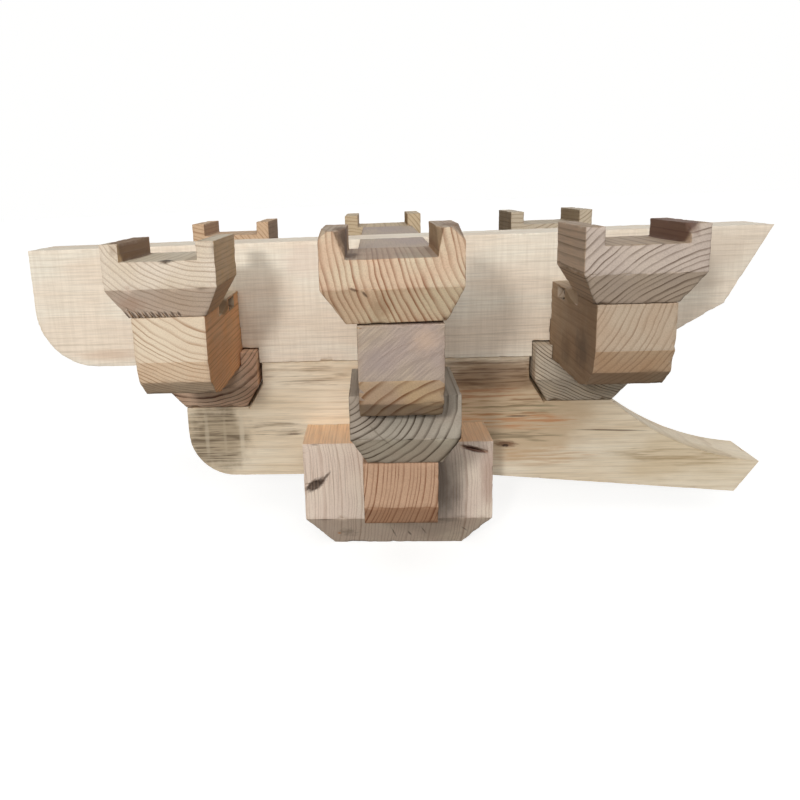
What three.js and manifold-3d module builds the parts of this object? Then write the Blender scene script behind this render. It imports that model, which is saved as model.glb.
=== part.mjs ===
// A timber bracket set (dougong) of one step each way, with a single beaked beam.
// Millimetres. X runs along the two beams, the beak points to +X, Y runs along the arms, Z is up.
// The origin is the middle of the cap block's underside, where the set sits on its column or beam.

import * as THREE from 'three';
import { ConvexGeometry } from 'three/addons/geometries/ConvexGeometry.js';
import { mergeVertices } from 'three/addons/utils/BufferGeometryUtils.js';
import Module from 'manifold-3d';

const wasm = await Module();
wasm.setup();

// The module is the width of an arm, which every other size follows.
const MODULE = 64;
const LAYER = 128; // one layer's seat to the next
const STEP = 194; // each side arm's distance from the centre arms
const SEAM = 0.3; // clearance between pieces that touch
const LOOSE = 0.8; // the open joint beside a block that a beam is cut around

const CAP = { size: 190, base: 135, height: 122, slope: 40, seat: 64 };
const SMALL = { height: 64, slope: 26, seat: 49 };
const SIDE_BLOCK = { ...SMALL, width: 95, depth: 90, insetX: 14, insetY: 15 };
const SHORT_ARM_BLOCK = { ...SMALL, width: 91, depth: 94, insetX: 14, insetY: 15 };
const LONG_ARM_BLOCK = { ...SMALL, width: 99, depth: 94, insetX: 15, insetY: 15 };
const BEAM_BLOCK = { ...SMALL, width: 99, depth: 92, insetX: 16, insetY: 14 };
const LONG_BLOCK_SHIFT = -6; // the long centre arm's blocks sit a little to one side
const SHORT_BLOCK_BIAS = 4; // the short centre arm's front block has one thick ear and one thin ear

// The long centre arm's front block is the tallest one, on an arm end that stands a little high.
const TALL_BLOCK = {
  width: 102, depth: 94, height: 69.5, slope: 28, seat: 49.5, insetX: 15, insetY: 15, footShift: 3,
};
const TALL_ARM_END = 82;

// Its ears have lost four corners: how far each break runs from the corner along X, Y and Z.
const BROKEN_CORNERS = [
  { ear: -1, side: 'slot', reach: [-7.7, 34, -18.5] },
  { ear: -1, side: 'outer', reach: [7, 42, -5.5] },
  { ear: 1, side: 'slot', reach: [3.7, 20, -17.5] },
  { ear: 1, side: 'outer', reach: [-10, 47, -9.5] },
];

const ARM = { endHeight: LAYER - SMALL.seat };
const ARM_CURVE = { run: 46, rise: 39.5, facets: 3 };
const SHORT_ARM_CURVE = [[50, 0], [10, 19], [0, 38]]; // run in from the end, and height
const SIDE_ARM_HALF = 189;
const SHORT_ARM_HALF = 205;
const LONG_ARM_HALF = 267;

// The scooped top edge of a side arm beside its block, and the small peg hole next to it.
const SCOOP = { end: 86, depth: 10 };
const PEG_HOLE = { from: 57, to: 84, height: 11, below: 2, depth: 20 };

const UPPER_BEAM = { back: -384, round: 63, nose: 376, breakX: 334, breakUp: 51, foot: 248 };
const LOWER_BEAM = {
  back: -227, round: 50, fallFrom: 96, fallStep: 3,
  beakTip: 383, beakTipUp: 8, beakFoot: 360, beakFootUp: -25.5,
  throat: 227, bendX: 298, bendUp: 16,
};

const SEAT_1 = CAP.seat;
const SEAT_2 = SEAT_1 + LAYER;
const SEAT_3 = SEAT_2 + LAYER;

const AXIS = {
  x: new THREE.Vector3(1, 0, 0),
  y: new THREE.Vector3(0, 1, 0),
  z: new THREE.Vector3(0, 0, 1),
};

function solidOf(geometry) {
  const bare = geometry.index ? geometry.toNonIndexed() : geometry.clone();
  bare.deleteAttribute('normal');
  bare.deleteAttribute('uv');
  const merged = mergeVertices(bare, 1e-4);
  const vertProperties = new Float32Array(merged.attributes.position.array);
  const triVerts = new Uint32Array(merged.index.array);
  return new wasm.Manifold(new wasm.Mesh({ numProp: 3, vertProperties, triVerts }));
}

function geometryOf(solid) {
  const mesh = solid.getMesh();
  const geometry = new THREE.BufferGeometry();
  geometry.setAttribute('position', new THREE.BufferAttribute(new Float32Array(mesh.vertProperties), 3));
  geometry.setIndex(new THREE.BufferAttribute(new Uint32Array(mesh.triVerts), 1));
  geometry.computeVertexNormals();
  return geometry;
}

function box(low, high) {
  const size = high.map((value, i) => value - low[i]);
  const geometry = new THREE.BoxGeometry(...size);
  geometry.translate(...low.map((value, i) => value + size[i] / 2));
  return solidOf(geometry);
}

// An outline in (X, Z), extruded evenly to both sides of Y = 0.
function prismAlongY(shape, depth) {
  const geometry = new THREE.ExtrudeGeometry(shape, { depth, bevelEnabled: false });
  geometry.translate(0, 0, -depth / 2);
  geometry.applyMatrix4(new THREE.Matrix4().makeBasis(AXIS.x, AXIS.z, AXIS.y.clone().negate()));
  return solidOf(geometry);
}

// An outline in (Y, Z), extruded evenly to both sides of X = 0.
function prismAlongX(shape, width) {
  const geometry = new THREE.ExtrudeGeometry(shape, { depth: width, bevelEnabled: false });
  geometry.translate(0, 0, -width / 2);
  geometry.applyMatrix4(new THREE.Matrix4().makeBasis(AXIS.y, AXIS.z, AXIS.x));
  return solidOf(geometry);
}

function shapeOf(points) {
  return new THREE.Shape(points.map(([across, up]) => new THREE.Vector2(across, up)));
}

// Points of a quarter round that leaves a vertical face at (x, z + rise) and ends on the underside.
function quarterRound(x, z, run, rise, steps) {
  const points = [];
  for (let i = 0; i <= steps; i += 1) {
    const angle = (Math.PI / 2) * (i / steps);
    points.push([x + run * (1 - Math.cos(angle)), z + rise * (1 - Math.sin(angle))]);
  }
  return points;
}

// The side outline of a block: a foot, a slope outward, and an upright upper part.
function blockOutline(size, inset, slope, height, footShift = 0) {
  const half = size / 2;
  const foot = half - inset;
  return shapeOf([
    [footShift - foot, 0], [footShift + foot, 0],
    [half, slope], [half, height], [-half, height], [-half, slope],
  ]);
}

function blockBody(kind, height) {
  const front = blockOutline(kind.width, kind.insetX, kind.slope, height, kind.footShift);
  const side = blockOutline(kind.depth, kind.insetY, kind.slope, height);
  return prismAlongY(front, kind.depth).intersect(prismAlongX(side, kind.width));
}

const SLOT_HALF = MODULE / 2 + SEAM;

// A small block, with one slot along Y for the member that it carries.
// With a bias, the block's body stands that far to one side of its slot.
function smallBlock(kind, bias = 0) {
  const body = blockBody(kind, kind.height - SEAM).translate([bias, 0, 0]);
  const slot = box(
    [-SLOT_HALF, -kind.depth, kind.seat - SEAM],
    [SLOT_HALF, kind.depth, kind.height + MODULE],
  );
  return body.subtract(slot);
}

// The tall block: a corner broken off is the space between its three edge points and a point outside.
function tallBlock() {
  const kind = TALL_BLOCK;
  let block = smallBlock(kind);
  for (const { ear, side, reach } of BROKEN_CORNERS) {
    const across = side === 'slot' ? SLOT_HALF : kind.width / 2;
    const corner = new THREE.Vector3(ear * across, -kind.depth / 2, kind.height - SEAM);
    const edgePoints = reach.map(
      (length, i) => corner.clone().setComponent(i, corner.getComponent(i) + length),
    );
    const outside = corner.clone().addScaledVector(new THREE.Vector3(...reach), -1);
    block = block.subtract(solidOf(new ConvexGeometry([...edgePoints, outside])));
  }
  return block;
}

// The cap block, with crossed slots for the short centre arm and the beaked beam.
function capBlock() {
  const inset = (CAP.size - CAP.base) / 2;
  const kind = { width: CAP.size, depth: CAP.size, insetX: inset, insetY: inset, slope: CAP.slope };
  const body = blockBody(kind, CAP.height);
  const over = CAP.size;
  const slotAlongX = box([-over, -SLOT_HALF, CAP.seat], [over, SLOT_HALF, over]);
  const slotAlongY = box([-SLOT_HALF, -over, CAP.seat], [SLOT_HALF, over, over]);
  return body.subtract(slotAlongX).subtract(slotAlongY);
}

const LONG_CURVE = quarterRound(0, 0, ARM_CURVE.run, ARM_CURVE.rise, ARM_CURVE.facets).reverse();

// Half of an arm's outline, from its underside's middle to its end and up to the block's foot.
function armEnd(half, seat, curve = LONG_CURVE, height = ARM.endHeight) {
  const rounded = curve.map(([run, up]) => [half - run, seat + SEAM + up]);
  return [...rounded, [half, seat + height]];
}

function mirrored(points) {
  return points.map(([across, up]) => [-across, up]).reverse();
}

// One side of a centre arm, which rises to the full layer behind its block, cut to the block's slope.
function centreArmSide(half, seat, block, curve, height) {
  const shoulder = half - (block.depth - 2 * block.insetY) - 1;
  return [
    ...armEnd(half, seat, curve, height),
    [shoulder, seat + height],
    [shoulder - block.insetY, seat + height + block.slope],
    [shoulder - block.insetY, seat + LAYER],
  ];
}

function centreArm(seat, frontSide, backSide) {
  const arm = prismAlongX(shapeOf([...backSide, ...mirrored(frontSide)]), MODULE);
  const lap = box(
    [-MODULE, -SLOT_HALF, seat + LAYER / 2 - SEAM / 2],
    [MODULE, SLOT_HALF, seat + 2 * LAYER],
  );
  return arm.subtract(lap);
}

// A side arm keeps one height, scooped along its top edge beside each block.
function sideArm() {
  const top = SEAT_2 + ARM.endHeight;
  const side = armEnd(SIDE_ARM_HALF, SEAT_2);
  let arm = prismAlongX(shapeOf([...side, ...mirrored(side)]), MODULE);
  const baseEnd = SIDE_ARM_HALF - (SIDE_BLOCK.depth - 2 * SIDE_BLOCK.insetY);
  const run = baseEnd - SCOOP.end;
  const radius = (run * run + SCOOP.depth * SCOOP.depth) / (2 * SCOOP.depth);
  for (const end of [-1, 1]) {
    const roller = new THREE.CylinderGeometry(radius, radius, MODULE * 2, 96);
    roller.rotateZ(Math.PI / 2);
    roller.translate(0, end * baseEnd, top - SCOOP.depth + radius);
    const beside = box([-MODULE, Math.min(end * baseEnd, end * SCOOP.end), top - LAYER],
      [MODULE, Math.max(end * baseEnd, end * SCOOP.end), top + MODULE]);
    arm = arm.subtract(solidOf(roller).intersect(beside));
  }
  const lap = box(
    [-MODULE, -SLOT_HALF, SEAT_2 + ARM.endHeight / 2 - SEAM / 2],
    [MODULE, SLOT_HALF, top + MODULE],
  );
  return arm.subtract(lap);
}

// The peg hole in the face that a side arm turns to the centre; inward is +1 or -1 along X.
function pegHole(inward) {
  const face = inward * MODULE / 2;
  const end = face - inward * PEG_HOLE.depth;
  const top = SEAT_2 + ARM.endHeight - PEG_HOLE.below;
  return box(
    [Math.min(end, face + inward), -PEG_HOLE.to, top - PEG_HOLE.height],
    [Math.max(end, face + inward), -PEG_HOLE.from, top],
  );
}

// The lower beam lies in the cap block, carries a block near each end, and ends in the beak.
function lowerBeam() {
  const b = LOWER_BEAM;
  const bottom = SEAT_1 + SEAM;
  const ledge = SEAT_1 + ARM.endHeight;
  const blockFace = STEP - BEAM_BLOCK.width / 2 - LOOSE;
  const blockFoot = blockFace + BEAM_BLOCK.insetX;
  const points = [
    [b.back, ledge],
    ...quarterRound(b.back, bottom, b.round, b.round, 12),
    [b.fallFrom, bottom],
    [b.fallFrom, SEAT_1 - b.fallStep],
    [b.beakFoot, SEAT_1 + b.beakFootUp],
    [b.beakTip, SEAT_1 + b.beakTipUp],
  ];
  const throat = new THREE.QuadraticBezierCurve(
    new THREE.Vector2(b.beakTip, SEAT_1 + b.beakTipUp),
    new THREE.Vector2(b.bendX, SEAT_1 + b.bendUp),
    new THREE.Vector2(b.throat, ledge),
  );
  points.push(...throat.getPoints(14).slice(1).map((point) => [point.x, point.y]));
  const shoulder = [
    [blockFoot, ledge],
    [blockFace, ledge + BEAM_BLOCK.slope],
    [blockFace, SEAT_2],
  ];
  points.push(...shoulder, ...mirrored(shoulder));
  const lap = box([-SLOT_HALF, -MODULE, 0], [SLOT_HALF, MODULE, SEAT_1 + LAYER / 2 + SEAM / 2]);
  return prismAlongY(shapeOf(points), MODULE).subtract(lap);
}

// The upper beam lies on the lower one, notched over the beam blocks and over each arm.
function upperBeam() {
  const b = UPPER_BEAM;
  const bottom = SEAT_2 + SEAM;
  const points = [
    [b.back, SEAT_3],
    ...quarterRound(b.back, bottom, b.round, b.round, 14),
    [b.foot, bottom],
    [b.breakX, SEAT_2 + b.breakUp],
    [b.nose, SEAT_3],
  ];
  let beam = prismAlongY(shapeOf(points), MODULE);
  const cut = (centre, half, top) => box([centre - half, -MODULE, 0], [centre + half, MODULE, top]);
  const earTop = SEAT_1 + ARM.endHeight + BEAM_BLOCK.height;
  for (const centre of [-STEP, STEP]) {
    beam = beam.subtract(cut(centre, BEAM_BLOCK.width / 2 + SEAM * 2, earTop + SEAM * 6));
    beam = beam.subtract(cut(centre, SLOT_HALF, SEAT_2 + ARM.endHeight / 2 + SEAM / 2));
  }
  return beam.subtract(cut(0, SLOT_HALF, SEAT_2 + LAYER / 2 + SEAM / 2));
}

const WOOD = {
  cream: { color: 0xd9c9a8, roughness: 0.78 },
  tan: { color: 0xc9ad85, roughness: 0.76 },
  pinkish: { color: 0xccb79f, roughness: 0.8 },
  orange: { color: 0xc08c5c, roughness: 0.76 },
  grey: { color: 0xb7a68c, roughness: 0.8 },
  brown: { color: 0xb1926e, roughness: 0.76 },
};

const group = new THREE.Group();

function place(name, solid, wood, x = 0, y = 0, z = 0) {
  const material = new THREE.MeshStandardMaterial({ ...wood, metalness: 0 });
  const mesh = new THREE.Mesh(geometryOf(solid), material);
  mesh.name = name;
  mesh.position.set(x, y, z);
  group.add(mesh);
}

// Blocks on the two ends of an arm, each with its foot flush with the arm's end.
function blocksOnArm(label, kind, half, x, seat, woods, frontBlock = smallBlock(kind), rise = 0) {
  const y = half + kind.insetY - kind.depth / 2;
  const z = seat + ARM.endHeight + SEAM;
  place(`${label}_block_front`, frontBlock, woods[0], x, -y, z + rise);
  place(`${label}_block_back`, smallBlock(kind), woods[1], x, y, z);
}

place('cap_block', capBlock(), WOOD.pinkish);
place('lower_beak_beam', lowerBeam(), WOOD.tan);
const shortSide = centreArmSide(SHORT_ARM_HALF, SEAT_1, SHORT_ARM_BLOCK, SHORT_ARM_CURVE, ARM.endHeight);
place('center_short_arm', centreArm(SEAT_1, shortSide, shortSide), WOOD.orange);
const unevenBlock = smallBlock(SHORT_ARM_BLOCK, SHORT_BLOCK_BIAS);
blocksOnArm('short_arm', SHORT_ARM_BLOCK, SHORT_ARM_HALF, 0, SEAT_1, [WOOD.grey, WOOD.tan], unevenBlock);

const beamBlockZ = SEAT_1 + ARM.endHeight + SEAM;
place('beam_block_inner', smallBlock(BEAM_BLOCK), WOOD.brown, -STEP, 0, beamBlockZ);
place('beam_block_outer', smallBlock(BEAM_BLOCK), WOOD.tan, STEP, 0, beamBlockZ);

place('upper_beam', upperBeam(), WOOD.cream);
const longFront = centreArmSide(LONG_ARM_HALF, SEAT_2, TALL_BLOCK, LONG_CURVE, TALL_ARM_END);
const longBack = centreArmSide(LONG_ARM_HALF, SEAT_2, LONG_ARM_BLOCK, LONG_CURVE, ARM.endHeight);
place('center_long_arm', centreArm(SEAT_2, longFront, longBack), WOOD.grey);
blocksOnArm(
  'long_arm', LONG_ARM_BLOCK, LONG_ARM_HALF, LONG_BLOCK_SHIFT, SEAT_2, [WOOD.orange, WOOD.tan],
  tallBlock(), TALL_ARM_END - ARM.endHeight,
);

place('inner_arm', sideArm().subtract(pegHole(1)), WOOD.cream, -STEP);
blocksOnArm('inner_arm', SIDE_BLOCK, SIDE_ARM_HALF, -STEP, SEAT_2, [WOOD.cream, WOOD.orange]);
place('outer_arm', sideArm().subtract(pegHole(-1)), WOOD.tan, STEP);
blocksOnArm('outer_arm', SIDE_BLOCK, SIDE_ARM_HALF, STEP, SEAT_2, [WOOD.pinkish, WOOD.grey]);

export default group;
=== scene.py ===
"""The looks of a timber bracket set (dougong): seventeen sawn pine pieces with open end grain.

Metres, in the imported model's own frame: X runs along the two beams and the beak points to +X,
Y runs along the arms, Z is up. Wood patterns are worked out in millimetres, in the same frame.
"""

import math

import bmesh
import bpy
import numpy as np
from mathutils import Matrix, Vector, noise


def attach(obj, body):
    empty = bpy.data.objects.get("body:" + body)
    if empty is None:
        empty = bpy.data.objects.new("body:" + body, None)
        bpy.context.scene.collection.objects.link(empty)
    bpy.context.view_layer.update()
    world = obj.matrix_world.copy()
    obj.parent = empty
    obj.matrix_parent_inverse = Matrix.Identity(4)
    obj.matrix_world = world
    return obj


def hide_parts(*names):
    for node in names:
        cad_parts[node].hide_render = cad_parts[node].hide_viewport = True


MM = 0.001

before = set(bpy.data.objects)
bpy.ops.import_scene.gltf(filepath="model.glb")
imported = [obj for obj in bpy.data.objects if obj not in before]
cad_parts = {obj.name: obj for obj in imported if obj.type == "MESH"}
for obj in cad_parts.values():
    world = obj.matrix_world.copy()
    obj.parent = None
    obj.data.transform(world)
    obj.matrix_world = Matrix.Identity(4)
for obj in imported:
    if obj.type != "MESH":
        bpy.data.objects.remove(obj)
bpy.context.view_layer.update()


# Node graphs

def rgb(red, green, blue):
    """A colour given as 0 to 255 display values, as the linear RGBA that nodes use."""
    def linear(value):
        value /= 255
        return value / 12.92 if value <= 0.04045 else ((value + 0.055) / 1.055) ** 2.4
    return (linear(red), linear(green), linear(blue), 1.0)


class Field:
    """A number that varies over a surface. Arithmetic on it adds Math nodes to its graph."""

    def __init__(self, graph, socket):
        self.graph = graph
        self.socket = socket

    def _math(self, operation, *values):
        return self.graph.math(operation, *values)

    def __add__(self, other):
        return self._math("ADD", self, other)

    def __sub__(self, other):
        return self._math("SUBTRACT", self, other)

    def __rsub__(self, other):
        return self._math("SUBTRACT", other, self)

    def __mul__(self, other):
        return self._math("MULTIPLY", self, other)

    def __truediv__(self, other):
        return self._math("DIVIDE", self, other)

    def size(self):
        return self._math("ABSOLUTE", self)

    def root(self):
        return self._math("SQRT", self)

    def whole(self):
        return self._math("FLOOR", self)

    def rise(self, low, high):
        """0 below low, 1 above high, and smooth between."""
        return self.graph.rise(self, low, high)


class Graph:
    """The node tree of one material."""

    def __init__(self, name):
        self.material = bpy.data.materials.new(name)
        self.material.use_nodes = True
        self.nodes = self.material.node_tree.nodes
        self.links = self.material.node_tree.links
        self.shader = self.nodes["Principled BSDF"]

    def put(self, socket, value):
        if isinstance(value, Field):
            value = value.socket
        if isinstance(value, bpy.types.NodeSocket):
            self.links.new(value, socket)
        else:
            socket.default_value = value

    def math(self, operation, *values):
        node = self.nodes.new("ShaderNodeMath")
        node.operation = operation
        for socket, value in zip(node.inputs, values):
            self.put(socket, value)
        return Field(self, node.outputs[0])

    def rise(self, value, low, high):
        node = self.nodes.new("ShaderNodeMapRange")
        node.interpolation_type = "SMOOTHSTEP"
        self.put(node.inputs["Value"], value)
        self.put(node.inputs["From Min"], low)
        self.put(node.inputs["From Max"], high)
        return Field(self, node.outputs["Result"])

    def point(self):
        """The place on the piece, in millimetres, as three fields."""
        where = self.nodes.new("ShaderNodeTexCoord")
        return self.split(where.outputs["Object"], 1 / MM)

    def split(self, vector, scale=1.0):
        parts = self.nodes.new("ShaderNodeSeparateXYZ")
        self.put(parts.inputs[0], vector)
        fields = [Field(self, socket) for socket in parts.outputs]
        return [field * scale for field in fields] if scale != 1.0 else fields

    def normal(self):
        """How much the surface faces along X, Y and Z, without the bump."""
        geometry = self.nodes.new("ShaderNodeNewGeometry")
        return self.split(geometry.outputs["True Normal"])

    def attribute(self, name):
        node = self.nodes.new("ShaderNodeAttribute")
        node.attribute_name = name
        return Field(self, node.outputs["Fac"])

    def vector(self, x, y, z):
        node = self.nodes.new("ShaderNodeCombineXYZ")
        for socket, value in zip(node.inputs, (x, y, z)):
            self.put(socket, value)
        return node.outputs[0]

    def noise(self, x, y, z, detail=2.0, roughness=0.5):
        """Smooth noise from 0 to 1 at a point given in cells of the pattern."""
        node = self.nodes.new("ShaderNodeTexNoise")
        node.inputs["Scale"].default_value = 1.0
        node.inputs["Detail"].default_value = detail
        node.inputs["Roughness"].default_value = roughness
        self.put(node.inputs["Vector"], self.vector(x, y, z))
        return Field(self, node.outputs["Fac"])

    def chance(self, value):
        """A steady random number from 0 to 1 for each whole value."""
        node = self.nodes.new("ShaderNodeTexWhiteNoise")
        node.noise_dimensions = "1D"
        self.put(node.inputs["W"], value)
        return Field(self, node.outputs["Value"])

    def mix(self, factor, first, second, blend="MIX"):
        """A colour between the first and the second. The node's sockets are picked by kind."""
        node = self.nodes.new("ShaderNodeMix")
        node.data_type = "RGBA"
        node.blend_type = blend
        self.put(node.inputs[0], factor)
        pair = [socket for socket in node.inputs if socket.type == "RGBA"]
        self.put(pair[0], first)
        self.put(pair[1], second)
        return next(socket for socket in node.outputs if socket.type == "RGBA")

    def bump(self, height, strength, distance):
        node = self.nodes.new("ShaderNodeBump")
        node.inputs["Strength"].default_value = strength
        node.inputs["Distance"].default_value = distance
        self.put(node.inputs["Height"], height)
        self.links.new(node.outputs["Normal"], self.shader.inputs["Normal"])


# The wood

PINE_ROUGHNESS = 0.72
PINE_SPECULAR = 0.3
FIBRE_SHADE = 0.16
EDGE_RUB = 0.35
BUMP_STRENGTH = 0.5
BUMP_DEPTH = 0.4 * MM
SEED_STEP = 7.31  # keeps the noise of two pieces apart


def wood(name, look):
    """Pine as a solid pattern, with growth rings, fibres along the grain, saw marks and stains, and painted
    light and shade: dark patches in hollows and shadowed spots, and face tints by which way a face looks.
    """
    graph = Graph(name)
    x, y, z = graph.point()
    facing_x, facing_y, facing_z = graph.normal()
    along_x = look["grain"] == "x"
    along, across, up = (x, y, z) if along_x else (y, x, z)
    end_facing = (facing_x if along_x else facing_y).size().rise(0.5, 0.8)
    seed = look["seed"] * SEED_STEP

    # Growth rings
    wander = look.get("wander", 1.6)
    slow = along * 0.004
    drift_a = graph.noise(across / 34 + seed, up / 34, slow, 2.0) - 0.5
    drift_b = graph.noise(across / 34, up / 34 + seed, slow + 9.0, 2.0) - 0.5
    sideways = across - look["pith"][0] + drift_a * (4 * wander)
    upward = up - look["pith"][1] + drift_b * (4 * wander)
    radius = (sideways * sideways + upward * upward).root()
    outward = radius - look["middle"]
    uneven = graph.noise(radius / (look["ring"] * 3.1), seed, 0.0, 1.0) - 0.5
    tightening = outward * outward * look.get("tighten", 0.0)
    phase = outward / look["ring"] + tightening + uneven * look.get("uneven", 2.0)
    ring = phase.whole()
    part = phase - ring
    width = look.get("late_width", 0.45)
    late = part.rise(1 - width, 0.92) * (1 - part.rise(0.94, 1.0))
    strength = graph.chance(ring + seed) * 0.7 + 0.65
    patchy = graph.noise(across / 23, up / 23, along / 90 + seed, 2.0).rise(0.25, 0.62) * 0.5 + 0.5
    late = late * strength * patchy

    # Colour of the clean wood, with slow changes of tint
    tint = graph.noise(across / 40 + seed, up / 40, along / 130, 2.0).rise(0.35, 0.65)
    colour = graph.mix(tint, look["early"], look.get("early_too", look["early"]))
    contrast = look.get("contrast", 0.8)
    long_contrast = look.get("long_contrast", contrast * 0.7)
    contrast_here = end_facing * (contrast - long_contrast) + long_contrast
    sloping = (0 - facing_z).rise(0.15, 0.28)
    if "slope_contrast" in look:
        contrast_here = contrast_here + sloping * (look["slope_contrast"] - contrast)
    colour = graph.mix(late * contrast_here, colour, look["late"])

    # Fibres: streaks on the long faces, pores and rays on the ends
    streak = graph.noise(across / 1.6, up / 1.6, along / 42 + seed, 4.0, 0.65)
    speck = graph.noise(across / 0.9, up / 0.9, along / 0.9 + seed, 3.0, 0.6)
    fibre = end_facing * (speck - streak) + streak
    shade = fibre.rise(0.3, 0.62) * FIBRE_SHADE + (1 - FIBRE_SHADE)
    grey = graph.vector(shade, shade, shade)
    colour = graph.mix(1.0, colour, grey, "MULTIPLY")

    # Saw marks run across a face at their own slant
    scratches = 0.0
    for slant, pitch, amount, faces in look.get("saw", ()):
        turn = math.radians(slant)
        over = x if faces == "y" else y
        stroke = over * math.cos(turn) + z * math.sin(turn)
        length = z * math.cos(turn) - over * math.sin(turn)
        marks = graph.noise(stroke / pitch + seed, length / (pitch * 14), y / 50, 3.0, 0.7).rise(0.32, 0.68)
        facing = (facing_y if faces == "y" else facing_x).size().rise(0.955, 0.985)
        marks = (1 - marks) * facing * amount
        scratches = marks + scratches
    if look.get("saw"):
        colour = graph.mix(scratches, colour, look.get("saw_colour", look["late"]))

    # Faces that are darker, browner or lighter than the sawn ends: the sides, the slopes and the tops. The
    # tints are partly the wood's own tone and partly painted light and shade, set by which way a face looks.
    cloud = graph.noise(x / 24, y / 24, z / 24 + seed, 4.0, 0.6).rise(0.2, 0.75) * 0.3 + 0.7
    if "side" in look:
        facing = (facing_y if along_x else facing_x).size().rise(0.75, 0.95)
        colour = graph.mix(facing * cloud, colour, graph.mix(1.0, colour, look["side"], "MULTIPLY"))
    if "slope" in look:
        colour = graph.mix(sloping * cloud, colour, graph.mix(1.0, colour, look["slope"], "MULTIPLY"))
    if "top" in look:
        facing = facing_z.rise(0.75, 0.95)
        colour = graph.mix(facing * cloud, colour, graph.mix(1.0, colour, look["top"], "MULTIPLY"))

    # Stains, streaks and knots, and patches of painted shade and painted shadow in hollows and beside parts,
    # each a soft ellipsoid with a ragged edge
    flame = graph.noise(across / 2.4, up / 2.4, along / 46 + seed, 3.0, 0.6).rise(0.42, 0.64)
    for stain in look.get("stains_and_painted_shade", ()):
        mask = blot(graph, (x, y, z), stain, seed)
        if stain["streaky"]:
            mask = mask * flame
        colour = graph.mix(mask * stain["amount"], colour, stain["colour"])

    # Rubbed edges
    arris = graph.attribute("arris")
    rub = arris * graph.noise(x / 6, y / 6, z / 6 + seed, 3.0).rise(0.3, 0.7)
    colour = graph.mix(rub * EDGE_RUB, colour, look["late"])

    graph.put(graph.shader.inputs["Base Color"], colour)
    rough = (1 - late * 0.12) * PINE_ROUGHNESS + fibre * 0.08
    graph.put(graph.shader.inputs["Roughness"], rough)
    graph.shader.inputs["Specular IOR Level"].default_value = PINE_SPECULAR
    height = fibre * 0.5 + late * 0.35 - scratches * 0.9
    graph.bump(height, BUMP_STRENGTH, BUMP_DEPTH)
    return graph.material


def blot(graph, point, stain, seed):
    """How much of a mark lies here, from 0 to 1; a mark is a stain or a patch of painted shade. It is turned
    in the X and Z plane.
    """
    x, y, z = [value - middle for value, middle in zip(point, stain["at"])]
    turn = math.radians(stain["turn"])
    offsets = (x * math.cos(turn) + z * math.sin(turn), y, z * math.cos(turn) - x * math.sin(turn))
    reach = stain["size"]
    total = sum(((offset / size) * (offset / size) for offset, size in zip(offsets[1:], reach[1:])),
                (offsets[0] / reach[0]) * (offsets[0] / reach[0]))
    cells = [offset / max(1.2, size * 0.35) for offset, size in zip(offsets, reach)]
    edge = graph.noise(cells[0] + seed, cells[1], cells[2], 3.0, 0.6) - 0.5
    return 1 - (total.root() + edge * stain["ragged"]).rise(stain["core"], 1.0)


def mark(at, size, colour, amount=0.7, turn=0, core=0.3, ragged=0.6, streaky=False):
    """A stain at a place, with its reach along X, Y and Z, in millimetres; the same kind of mark also paints
    shade and shadow.
    """
    return {
        "at": at, "size": size, "colour": rgb(*colour), "amount": amount, "turn": turn, "core": core,
        "ragged": ragged, "streaky": streaky,
    }


def flames(at, size, colour, amount=0.7, turn=0):
    """A stain that shows only in streaks along the grain."""
    return mark(at, size, colour, amount, turn, 0.5, 0.8, True)


# The pieces' shapes

BEVEL = 0.9 * MM
CELL = 3.5 * MM
CLOSEST = 0.7 * MM  # corners nearer than this share one plane
FINEST = 0.8  # the longest edge left inside a dent, in millimetres
WELD = 0.001 * MM
ON_PLANE = 0.02 * MM
FLAT = math.radians(0.5)
SHARP = math.radians(18)
SMOOTH = math.radians(32)
RUB_REACH = 2.2 * MM
NICK_DEPTH = 2.2


def clean_solid(node):
    """The CAD node's solid as whole flat faces."""
    solid = bmesh.new()
    solid.from_mesh(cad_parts[node].data)
    bmesh.ops.remove_doubles(solid, verts=solid.verts, dist=WELD)
    bmesh.ops.dissolve_limit(solid, angle_limit=FLAT, verts=solid.verts, edges=solid.edges)
    return solid


def cut_away(solid, hulls):
    """Takes the convex hull of each list of points, in millimetres, away from the solid."""
    body = bpy.data.meshes.new("body")
    solid.to_mesh(body)
    holder = bpy.data.objects.new("body", body)
    bpy.context.scene.collection.objects.link(holder)
    tools = bmesh.new()
    for points in hulls:
        corners = [tools.verts.new(Vector(point) * MM) for point in points]
        made = bmesh.ops.convex_hull(tools, input=corners)
        inside = [item for item in made["geom_interior"] if isinstance(item, bmesh.types.BMVert)]
        bmesh.ops.delete(tools, geom=inside, context="VERTS")
    bmesh.ops.recalc_face_normals(tools, faces=tools.faces)
    blade = bpy.data.meshes.new("blade")
    tools.to_mesh(blade)
    tools.free()
    cutter = bpy.data.objects.new("blade", blade)
    bpy.context.scene.collection.objects.link(cutter)
    cut = holder.modifiers.new("cut", "BOOLEAN")
    cut.operation = "DIFFERENCE"
    cut.object = cutter
    cut.solver = "EXACT"
    cut.use_self = True
    done = bpy.data.meshes.new_from_object(holder.evaluated_get(bpy.context.evaluated_depsgraph_get()))
    result = bmesh.new()
    result.from_mesh(done)
    for item in (holder, cutter):
        bpy.data.objects.remove(item)
    for item in (body, blade, done):
        bpy.data.meshes.remove(item)
    bmesh.ops.remove_doubles(result, verts=result.verts, dist=WELD)
    bmesh.ops.dissolve_limit(result, angle_limit=FLAT, verts=result.verts, edges=result.edges)
    return result


def sharp_edges(solid):
    return [edge for edge in solid.edges if edge.is_manifold and edge.calc_face_angle(0) > SHARP]


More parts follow.
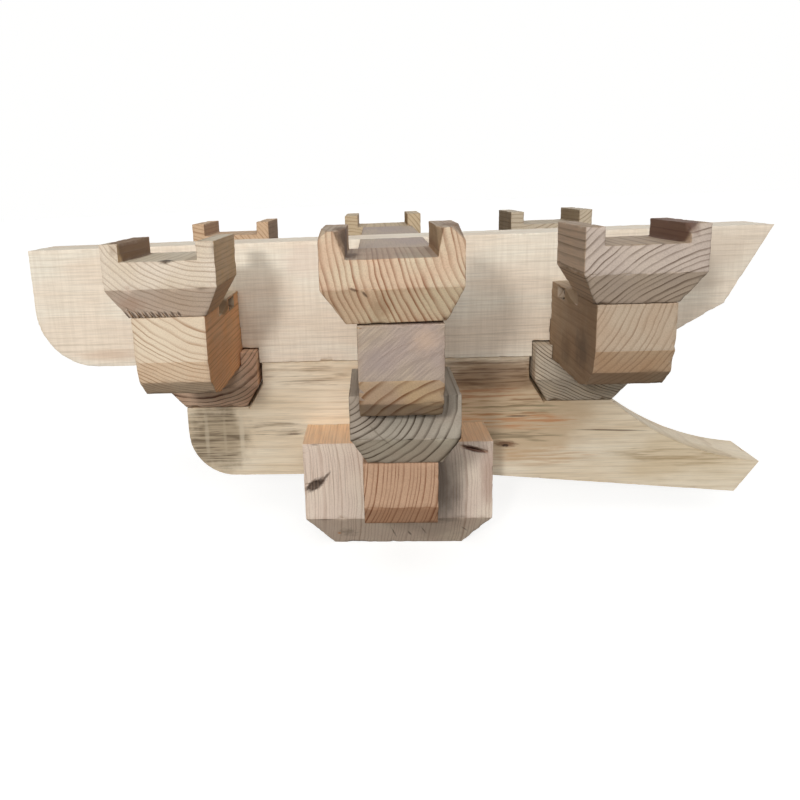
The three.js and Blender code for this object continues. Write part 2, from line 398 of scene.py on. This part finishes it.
def slice_up(solid, cell):
    """Cuts the solid's faces into cells, on planes through its corners and evenly between them."""
    corners = [sorted({round(vert.co[axis], 5) for vert in solid.verts}) for axis in range(3)]
    for axis, marks in enumerate(corners):
        levels = []
        last = marks[0]
        for corner in marks[1:]:
            gap = corner - last
            if gap > CLOSEST:
                steps = int(gap / cell) + 1
                levels.extend(last + gap * step / steps for step in range(1, steps + 1))
                last = corner
        normal = Vector((0, 0, 0))
        normal[axis] = 1
        for level in levels[:-1]:
            geometry = solid.verts[:] + solid.edges[:] + solid.faces[:]
            bmesh.ops.bisect_plane(
                solid, geom=geometry, plane_co=normal * level, plane_no=normal, dist=ON_PLANE,
            )


def edge_distance(points, segments):
    """Each point's distance to the nearest of the segments."""
    nearest = np.full(len(points), 1e9)
    for start, end in segments:
        way = end - start
        share = np.clip(((points - start) @ way) / max(way @ way, 1e-12), 0, 1)
        gap = np.linalg.norm(points - start - share[:, None] * way, axis=1)
        nearest = np.minimum(nearest, gap)
    return nearest


def wear(solid, segments, seed):
    """Presses the surface in: slightly all over, and in nicks along the edges."""
    arris = solid.verts.layers.float.new("arris")
    verts = list(solid.verts)
    points = np.array([vert.co for vert in verts])
    close = edge_distance(points, segments)
    shift = Vector((seed * 3.7, seed * 1.9, seed * 5.3))
    solid.normal_update()
    moves = []
    for vert, gap in zip(verts, close):
        place = vert.co / MM
        near = max(0.0, 1 - gap / RUB_REACH)
        wave = 0.5 + 0.5 * noise.noise(place / 31 + shift)
        broad = max(0.0, noise.noise(place / 9 + shift) - 0.12)
        small = max(0.0, noise.noise(place / 3.5 - shift) - 0.3)
        depth = 0.12 * wave + near * (broad + small) * NICK_DEPTH
        vert[arris] = near
        moves.append(-vert.normal * depth * MM)
    for vert, move in zip(verts, moves):
        vert.co += move


def dent(solid, at, size, depth, seed, finest):
    """Sinks a ragged hollow into the faces near a point, in millimetres; a negative depth swells them."""
    middle = Vector(at) * MM
    reach = Vector(size) * MM

    def distance(place):
        offset = place - middle
        return math.sqrt(sum((offset[i] / reach[i]) ** 2 for i in range(3)))

    for _ in range(4):
        long_edges = [
            edge for edge in solid.edges
            if edge.calc_length() > finest * MM and min(distance(vert.co) for vert in edge.verts) < 1.5
        ]
        if not long_edges:
            break
        bmesh.ops.subdivide_edges(solid, edges=long_edges, cuts=1, use_grid_fill=True)
        bmesh.ops.triangulate(solid, faces=[face for face in solid.faces if len(face.verts) > 4])
    solid.normal_update()
    moves = []
    for vert in solid.verts:
        ragged = distance(vert.co) + 0.35 * noise.noise(vert.co / (3 * MM) + Vector((seed, 0, seed)))
        if ragged < 1:
            push = min(1.0, (1 - ragged) * 2.2)
            moves.append((vert, -vert.normal * depth * push * MM))
    for vert, move in moves:
        vert.co += move


def dress(node, look):
    """Builds the shown piece for a CAD node, and gives it its wood."""
    solid = clean_solid(node)
    if look.get("cuts"):
        cut = cut_away(solid, look["cuts"])
        solid.free()
        solid = cut
    edges = sharp_edges(solid)
    segments = [tuple(np.array(vert.co) for vert in edge.verts) for edge in edges]
    bmesh.ops.bevel(
        solid, geom=edges, offset=BEVEL, offset_type="OFFSET", segments=2, profile=0.6,
        affect="EDGES", clamp_overlap=True,
    )
    slice_up(solid, CELL)
    for hollow in look.get("dents", ()):
        dent(solid, hollow["at"], hollow["size"], hollow["depth"], look["seed"], hollow.get("finest", FINEST))
    wear(solid, segments, look["seed"])
    mesh = bpy.data.meshes.new(node + "_wood")
    solid.to_mesh(mesh)
    solid.free()
    piece = bpy.data.objects.new(node + "_wood", mesh)
    bpy.context.scene.collection.objects.link(piece)
    mesh.materials.append(wood(node + "_pine", look))
    mesh.shade_smooth()
    mesh.set_sharp_from_angle(angle=SMOOTH)
    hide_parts(node)
    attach(piece, "root")
    return piece


# Each piece's wood, with the marks that the photograph shows on it. Places are in millimetres.

def cap_look():
    front = -95
    stains_and_painted_shade = [
        mark((-83.5, front, 78), (15, 8, 6.5), (66, 50, 40), 0.95, 34, 0.5, 0.7),
        mark((-72, front, 87), (9, 5, 2.0), (84, 66, 52), 0.8, 50),
        # painted shadow: darkens the cap's front just right of the short arm, where the arm's shadow falls
        mark((38, front, 78), (36, 10, 66), (88, 74, 64), 0.75, 0, 0.2, 0.6),
        mark((40, -80, 18), (40, 24, 26), (150, 132, 114), 0.4, 0, 0.1, 1.0),
        mark((76, front, 114), (17, 6, 3.6), (84, 46, 34), 0.95, -16, 0.5),
        mark((91, front, 84), (12, 8, 42), (152, 108, 88), 0.4),
        mark((-83, front, 121), (5, 4, 1.2), (120, 96, 76), 0.6),
        mark((-76, front, 39), (11, 6, 1.3), (104, 86, 70), 0.6),
        mark((-4.5, -79, 17), (12, 22, 1.1), (96, 80, 66), 0.6, -71),
        mark((12, -80, 15), (5.5, 20, 1.7), (90, 74, 60), 0.7, -63),
        mark((26.5, -82, 20), (8.5, 20, 1.1), (96, 80, 66), 0.6, -63),
        mark((68.5, -83, 22), (6, 20, 1.1), (96, 80, 66), 0.6, -45),
        mark((-52, -83, 17), (15, 22, 10), (132, 114, 96), 0.5, 0, 0.1, 1.4),
        mark((-62, -80, 16), (2.6, 20, 2.2), (196, 122, 62), 0.7),
    ]
    for x in (-93, -88, -85, -81, -69, -65, -60, -53):
        stains_and_painted_shade.append(mark((x, front, 84), (0.8, 5, 38), (156, 132, 114), 0.4, 0, 0.2, 0.5))
    return {
        "slot": "pink_pine", "grain": "y", "pith": (-420, 60), "middle": 420, "ring": 3.7, "uneven": 3.6,
        "early": rgb(238, 222, 204), "early_too": rgb(232, 213, 197), "late": rgb(184, 154, 134),
        "contrast": 0.55, "side": rgb(226, 206, 188), "slope": rgb(246, 240, 232),
        "top": rgb(270, 246, 218), "wander": 1.2, "stains_and_painted_shade": stains_and_painted_shade,
        "dents": [{"at": (-84, front, 78), "size": (9, 6, 4), "depth": 1.2}],
        "cuts": [[
            (61, -96, 118.4), (90, -96, 112.6), (91, -96, 109.6), (62, -96, 117.2),
            (68, -91, 116), (86, -91, 111.4),
        ]],
    }


def side_joint(side):
    """The open front of the joint between the lower beam and a beam block, as hulls taken from the beam."""
    face, foot = 143.9 * side, 159.9 * side
    gap = 2.6 * side
    deep = -17
    open_front = -33
    upright = [
        (face, open_front, 168), (face - gap, open_front, 168), (face, deep, 168),
        (face, open_front, 193), (face - gap, open_front, 193), (face, deep, 193),
    ]
    slope = [
        (face, open_front, 169.5), (face - gap, open_front, 168), (face, deep, 169.5),
        (foot, open_front, 143.2), (foot - gap, open_front, 141.2), (foot, deep, 143.2),
    ]
    return [upright, slope]


def lower_beam_look():
    front = -32
    stains_and_painted_shade = [
        mark((-196, front, 106), (46, 30, 50), (168, 150, 124), 0.75, 0, 0.4, 0.8),
        flames((-196, front, 108), (44, 30, 46), (104, 88, 68), 0.8),
        mark((-168, front, 112), (4, 20, 34), (222, 208, 184), 0.6),
        mark((-207, front, 112), (3.5, 20, 34), (206, 192, 168), 0.5),
        mark((-187, front, 112), (2.5, 20, 34), (196, 180, 154), 0.4),
        flames((-130, front, 118), (40, 20, 12), (120, 98, 74), 0.6),
        flames((-96, front, 176), (60, 20, 16), (150, 122, 92), 0.6),
        mark((-110, front, 111), (12, 6, 1.0), (92, 72, 54), 0.8, 0, 0.4),
        mark((-92, front, 171), (46, 12, 1.2), (132, 108, 82), 0.65),
        mark((120, front, 128), (110, 24, 56), (206, 180, 146), 0.8, 0, 0.6, 0.6),
        mark((310, front, 84), (110, 40, 56), (196, 172, 130), 0.42, 0, 0.2, 0.9),
        flames((296, front, 80), (84, 20, 13), (158, 132, 94), 0.55, -4),
        mark((105, front, 172), (90, 20, 24), (146, 116, 88), 0.8, 0, 0.4, 0.8),
        flames((105, front, 176), (84, 20, 22), (96, 70, 50), 0.7),
        flames((105, front, 148), (80, 20, 14), (168, 112, 76), 0.7),
        flames((118, front, 136), (76, 20, 12), (132, 122, 92), 0.7),
        flames((128, front, 122), (80, 20, 12), (196, 132, 84), 0.75, -2),
        flames((122, front, 104), (70, 20, 9), (120, 106, 80), 0.6),
        flames((140, front, 82), (90, 20, 14), (200, 160, 118), 0.6),
        mark((130, front, 127), (17, 8, 1.1), (82, 60, 44), 0.8),
        mark((228, front, 109.5), (46, 8, 1.2), (98, 76, 54), 0.8, -2),
        mark((118, front, 96), (18, 10, 5), (124, 88, 62), 0.8, -4, 0.3, 0.9),
        mark((118, front, 94), (5.5, 8, 2.2), (56, 38, 28), 0.9, 0, 0.4),
    ]
    return {
        "slot": "tan_pine", "grain": "x", "pith": (-10, 620), "middle": 500, "ring": 9.0, "wander": 3.4,
        "early": rgb(244, 231, 208), "early_too": rgb(234, 216, 188), "late": rgb(190, 162, 126),
        "long_contrast": 0.28, "contrast": 0.7, "stains_and_painted_shade": stains_and_painted_shade,
        "dents": [{"at": (118, front, 95), "size": (6, 5, 3), "depth": 0.8}] + [
            {"at": (side * 151.9, 4, 156), "size": (24, 12, 34), "depth": -0.9, "finest": 4.0}
            for side in (-1, 1)
        ],
        "cuts": side_joint(-1) + side_joint(1),
    }


def upper_beam_look():
    front = -32
    stains_and_painted_shade = [
        mark((-300, front, 205), (60, 20, 9), (206, 176, 150), 0.5, 0, 0.2, 0.9),
        mark((-90, front, 300), (30, 20, 26), (224, 200, 184), 0.4),
        mark((300, front, 262), (60, 20, 10), (196, 176, 156), 0.4, 6),
        mark((306, front, 292), (70, 20, 34), (206, 190, 172), 0.6, 0, 0.2, 0.8),
        mark((-226, front, 262), (40, 20, 60), (206, 190, 174), 0.3, 0, 0.1, 0.8),
    ]
    chip = [
        (-79, -33, 191), (-64, -33, 191), (-79, -28, 191), (-64, -28, 191),
        (-76, -33, 195.2), (-67, -33, 194.6),
    ]
    return {
        "slot": "cream_pine", "grain": "x", "pith": (30, 640), "middle": 400, "ring": 7.0, "wander": 1.6,
        "early": rgb(248, 240, 224), "early_too": rgb(244, 229, 210), "late": rgb(206, 186, 160),
        "long_contrast": 0.22, "contrast": 0.6,
        "saw": ((0, 3.6, 0.2, "y"),), "saw_colour": rgb(198, 182, 160),
        "stains_and_painted_shade": stains_and_painted_shade, "cuts": [chip],
    }


TEAR = {"left": -230, "count": 9, "pitch": 5.6, "front": -189, "foot": 271.3}


def torn_foot():
    """Slits torn into the front edge of the left block's foot, deepest at the left."""
    front, foot = TEAR["front"], TEAR["foot"]
    slits = []
    for step in range(TEAR["count"]):
        x = TEAR["left"] + TEAR["pitch"] * step
        rise = 9.5 - 5.5 * step / TEAR["count"]
        slits.append([
            (x, front - 6, foot - 1), (x + TEAR["pitch"] * 0.6, front - 6, foot - 1),
            (x + 1, front + 8, foot - 1), (x - 2.5, front - 6, foot + rise),
        ])
    return slits


def painted_slit_shade():
    """Painted shade in each of the slits: dark colour where the slits lie in shadow."""
    return [
        mark((TEAR["left"] + 2 + TEAR["pitch"] * step, TEAR["front"] - 1, 274), (1.5, 8, 7 - 0.4 * step),
             (70, 50, 38), 0.75, 24, 0.4, 0.5)
        for step in range(TEAR["count"])
    ]


def tall_block_look():
    stains_and_painted_shade = [
        mark((-33, -282, 302.5), (4.5, 5, 1.5), (84, 62, 46), 0.8, -20),
        mark((-25, -281, 298.5), (5, 5, 1.5), (84, 62, 46), 0.8, -50),
        mark((-14, -276, 287), (10, 14, 16), (146, 100, 68), 0.45, 0, 0.2, 0.9),
        mark((-38, -250, 334), (14, 31, 20), (104, 80, 60), 0.85, 0, 0.6),
        mark((-32.5, -258, 332), (3, 44, 16), (104, 78, 58), 0.7, 0, 0.4),
        mark((40, -250, 337), (14, 31, 14), (122, 96, 70), 0.8, 0, 0.6),
        mark((32.5, -240, 330), (3, 44, 18), (122, 98, 74), 0.7, 0, 0.5),
    ]
    open_joint = [
        (-60, -270, 274), (60, -270, 274), (-60, -254, 274), (60, -254, 274),
        (-60, -270, 275.2), (60, -270, 276.6),
    ]
    return {
        "slot": "orange_pine", "grain": "y", "pith": (129, 352), "middle": 130, "ring": 4.7,
        "late_width": 0.6,
        "early": rgb(218, 200, 172), "early_too": rgb(216, 186, 158), "late": rgb(154, 110, 82),
        "contrast": 0.85, "side": rgb(200, 180, 160), "slope": rgb(268, 264, 256), "top": rgb(200, 200, 204),
        "stains_and_painted_shade": stains_and_painted_shade, "cuts": [open_joint],
    }


LOOKS = {
    "cap_block": cap_look(),
    "lower_beak_beam": lower_beam_look(),
    "upper_beam": upper_beam_look(),
    "center_short_arm": {
        "slot": "orange_pine", "grain": "y", "pith": (-165, 145), "middle": 165, "ring": 3.6, "uneven": 3.2,
        "early": rgb(200, 164, 136), "early_too": rgb(194, 158, 130), "late": rgb(140, 98, 70),
        "contrast": 0.85, "side": rgb(200, 180, 160), "slope": rgb(237, 220, 206), "wander": 0.7,
    },
    "center_long_arm": {
        "slot": "grey_pine", "grain": "y", "pith": (69, 125), "middle": 110, "ring": 8.6,
        "early": rgb(190, 172, 152), "early_too": rgb(178, 160, 150), "late": rgb(124, 92, 68),
        "contrast": 0.16, "slope_contrast": 0.9,
        "saw": ((132, 1.5, 0.55, "y"),), "saw_colour": rgb(140, 126, 118),
        "side": rgb(200, 184, 168), "slope": rgb(262, 246, 218),
        "stains_and_painted_shade": [
            mark((18, -267, 262), (16, 6, 14), (204, 176, 152), 0.5, 0, 0.1, 0.9),
            mark((-18, -267, 245), (14, 6, 16), (152, 138, 134), 0.4, 0, 0.1, 0.9),
        ],
    },
    "inner_arm": {
        "slot": "cream_pine", "grain": "y", "pith": (-137, 349), "middle": 120, "ring": 5.0,
        "tighten": 0.0015,
        "early": rgb(230, 213, 188), "early_too": rgb(224, 204, 178), "late": rgb(172, 138, 108),
        "contrast": 0.75, "side": rgb(281, 235, 195), "slope": rgb(262, 250, 240),
        "stains_and_painted_shade": [
            # painted shade: brown on the scoop under the block's slope, and near-black in the hole beside the
            # arm's shoulder
            mark((-180, -106, 266), (34, 26, 10), (150, 122, 90), 0.85, 0, 0.8, 0.3),
            mark((-176, -70.5, 262), (13.2, 17, 8.6), (24, 16, 11), 1.0, 0, 0.95, 0.0),
        ],
    },
    "outer_arm": {
        "slot": "tan_pine", "grain": "y", "pith": (77, 308), "middle": 120, "ring": 5.2,
        "early": rgb(194, 175, 153), "early_too": rgb(189, 165, 141), "late": rgb(146, 120, 96),
        "contrast": 0.6, "side": rgb(222, 208, 192), "slope": rgb(246, 230, 212),
        "stains_and_painted_shade": [
            # painted shade: brown on the scoop under the block's slope, and near-black in the hole beside the
            # arm's shoulder
            mark((180, -106, 266), (34, 26, 10), (150, 126, 98), 0.8, 0, 0.8, 0.3),
            mark((176, -70.5, 262), (13.2, 17, 8.6), (24, 16, 11), 1.0, 0, 0.95, 0.0),
            mark((162, -150, 226), (5, 32, 26), (96, 86, 76), 0.55, 0, 0.1, 1.3),
            mark((162, -96, 214), (5, 26, 22), (108, 92, 74), 0.45, 0, 0.1, 1.3),
        ],
    },
    "beam_block_inner": {
        "slot": "brown_pine", "grain": "y", "pith": (-209, 241), "middle": 80, "ring": 5.0,
        "early": rgb(240, 208, 180), "early_too": rgb(230, 190, 160), "late": rgb(118, 82, 62),
        "contrast": 0.95,
    },
    "beam_block_outer": {
        "slot": "tan_pine", "grain": "y", "pith": (336, 452), "middle": 320, "ring": 3.2,
        "early": rgb(222, 204, 178), "early_too": rgb(206, 192, 172), "late": rgb(100, 78, 58),
        "contrast": 0.9,
    },
    "short_arm_block_front": {
        "slot": "grey_pine", "grain": "y", "pith": (-51, 214), "middle": 70, "ring": 6.4,
        "tighten": -0.00066,
        "early": rgb(182, 172, 157), "early_too": rgb(174, 160, 145), "late": rgb(80, 66, 52),
        "contrast": 0.95, "side": rgb(200, 188, 176), "slope": rgb(268, 266, 258),
        "stains_and_painted_shade": [mark((-17, -219, 173), (19, 8, 1.0), (118, 106, 92), 0.5, -47)],
    },
    "short_arm_block_back": {
        "slot": "tan_pine", "grain": "y", "pith": (80, 60), "middle": 120, "ring": 4.6,
        "early": rgb(200, 180, 150), "late": rgb(140, 112, 84), "contrast": 0.7, "side": rgb(220, 205, 190),
    },
    "long_arm_block_front": tall_block_look(),
    "long_arm_block_back": {
        "slot": "tan_pine", "grain": "y", "pith": (-60, 240), "middle": 90, "ring": 4.4,
        "early": rgb(204, 184, 152), "late": rgb(148, 116, 86), "contrast": 0.7, "side": rgb(220, 205, 190),
    },
    "inner_arm_block_front": {
        "slot": "cream_pine", "grain": "y", "pith": (-146, 400), "middle": 105, "ring": 4.2,
        "early": rgb(228, 214, 196), "early_too": rgb(222, 206, 184), "late": rgb(182, 160, 138),
        "contrast": 0.7, "side": rgb(252, 226, 186), "slope": rgb(247, 236, 232), "top": rgb(233, 235, 231),
        "stains_and_painted_shade": [
            mark((-188, -200, 320), (8, 9, 4), (58, 48, 40), 0.95),
            mark((-230, -150, 330), (12, 58, 20), (124, 94, 70), 0.85, 0, 0.85, 0.1),
            mark((-222, -197, 285), (18, 14, 12), (188, 148, 122), 0.45, 0, 0.1, 0.9),
        ] + painted_slit_shade(),
        "cuts": torn_foot(),
    },
    "inner_arm_block_back": {
        "slot": "orange_pine", "grain": "y", "pith": (-260, 240), "middle": 90, "ring": 4.0,
        "early": rgb(210, 180, 148), "late": rgb(160, 118, 86), "contrast": 0.75, "side": rgb(220, 205, 190),
    },
    "outer_arm_block_front": {
        "slot": "pink_pine", "grain": "y", "pith": (265, 200), "middle": 130, "ring": 5.3,
        "early": rgb(206, 190, 176), "early_too": rgb(200, 184, 172), "late": rgb(124, 106, 92),
        "contrast": 0.85, "side": rgb(276, 262, 242), "slope": rgb(252, 246, 234), "top": rgb(217, 205, 184),
        "stains_and_painted_shade": [mark((230, -150, 330), (12, 58, 20), (104, 70, 58), 0.85, 0, 0.85, 0.1)],
        "cuts": [[(225, -206, 336), (233, -206, 336), (225, -206, 323), (225, -182, 336)]],
    },
    "outer_arm_block_back": {
        "slot": "grey_pine", "grain": "y", "pith": (150, 420), "middle": 130, "ring": 4.6,
        "early": rgb(196, 182, 160), "late": rgb(140, 120, 98), "contrast": 0.7, "side": rgb(220, 208, 194),
    },
}

for number, (node, look) in enumerate(LOOKS.items()):
    dress(node, {"seed": number + 1, **look})


# The camera stands where the photograph was taken from.

CAMERA_AT = (-0.0176, -0.7935, 0.3735)
CAMERA_TURN = 0.0748
CAMERA_TILT = -0.2267
CAMERA_ROLL = 0.0415
IMAGE_SIDE = 800
FOCAL_PIXELS = 735.05
VIEW_CENTRE = (323.4, 356.6)
SENSOR = 36.0


def place_camera():
    data = bpy.data.cameras.new("camera")
    data.sensor_width = SENSOR
    data.lens = SENSOR * FOCAL_PIXELS / IMAGE_SIDE
    data.shift_x = 0.5 - VIEW_CENTRE[0] / IMAGE_SIDE
    data.shift_y = VIEW_CENTRE[1] / IMAGE_SIDE - 0.5
    data.clip_start = 0.01
    data.clip_end = 200
    camera = bpy.data.objects.new("camera", data)
    turns = ((CAMERA_TURN, "Z"), (CAMERA_TILT, "X"), (CAMERA_ROLL, "Y"), (math.pi / 2, "X"))
    pose = Matrix.Translation(CAMERA_AT)
    for angle, axis in turns:
        pose = pose @ Matrix.Rotation(angle, 4, axis)
    camera.matrix_world = pose
    bpy.context.scene.collection.objects.link(camera)
    bpy.context.scene.camera = camera


# A low lamp in front and to the left, broad soft light from above the camera, and weaker light behind

def soft_light(name, azimuth, elevation, strength, spread, colour):
    """Distant light. Azimuth 0 comes from the camera's side (-Y), and a positive one from +X."""
    data = bpy.data.lights.new(name, "SUN")
    data.energy = strength
    data.angle = math.radians(spread)
    data.color = colour
    light = bpy.data.objects.new(name, data)
    turn = Matrix.Rotation(math.radians(azimuth), 4, "Z")
    light.matrix_world = turn @ Matrix.Rotation(math.radians(90 - elevation), 4, "X")
    bpy.context.scene.collection.objects.link(light)


def lamp(name, place, aim, size, power, colour):
    data = bpy.data.lights.new(name, "AREA")
    data.shape = "DISK"
    data.size = size
    data.energy = power
    data.color = colour
    light = bpy.data.objects.new(name, data)
    light.location = place
    light.rotation_euler = (Vector(aim) - Vector(place)).to_track_quat("-Z", "Y").to_euler()
    light.visible_camera = False
    bpy.context.scene.collection.objects.link(light)


def surround(strength):
    world = bpy.data.worlds.new("studio")
    world.use_nodes = True
    background = world.node_tree.nodes["Background"]
    background.inputs["Color"].default_value = (1.0, 0.97, 0.93, 1.0)
    background.inputs["Strength"].default_value = strength
    bpy.context.scene.world = world


def plain_stage(name, build, albedo, glow):
    """A stage piece that is seen, and takes shadows, but sends no light back to the object."""
    mesh = bpy.data.meshes.new(name)
    shape = bmesh.new()
    build(shape)
    shape.to_mesh(mesh)
    shape.free()
    stage = bpy.data.objects.new(name, mesh)
    bpy.context.scene.collection.objects.link(stage)
    graph = Graph(name + "_paint")
    x, y, z = graph.point()
    grain = graph.noise(x / 4, y / 4, z / 4, 3.0)
    graph.put(graph.shader.inputs["Base Color"], (albedo, albedo, albedo * 0.99, 1.0))
    graph.put(graph.shader.inputs["Roughness"], grain * 0.1 + 0.85)
    graph.shader.inputs["Specular IOR Level"].default_value = 0.0
    graph.shader.inputs["Emission Color"].default_value = (1.0, 1.0, 0.995, 1.0)
    graph.shader.inputs["Emission Strength"].default_value = glow
    mesh.materials.append(graph.material)
    for kind in ("diffuse", "glossy", "transmission", "shadow"):
        setattr(stage, "visible_" + kind, False)


STAGE_REACH = 14.0


def floor_disc(shape):
    bmesh.ops.create_circle(shape, cap_ends=True, segments=96, radius=STAGE_REACH)


def backdrop_dome(shape):
    bmesh.ops.create_icosphere(shape, subdivisions=4, radius=STAGE_REACH * 1.02)
    bmesh.ops.reverse_faces(shape, faces=shape.faces)


place_camera()
lamp("key", (-0.37, -1.45, 0.71), (0.0, -0.1, 0.22), 0.16, 8.0, (1.0, 0.985, 0.96))
soft_light("front", -4, 38, 2.0, 60, (1.0, 0.99, 0.975))
soft_light("back", 160, 24, 1.2, 60, (1.0, 0.99, 0.975))
surround(0.1)
plain_stage("floor", floor_disc, 0.4, 0.78)
plain_stage("backdrop", backdrop_dome, 0.0, 1.0)
bpy.context.scene.view_settings.view_transform = "Standard"
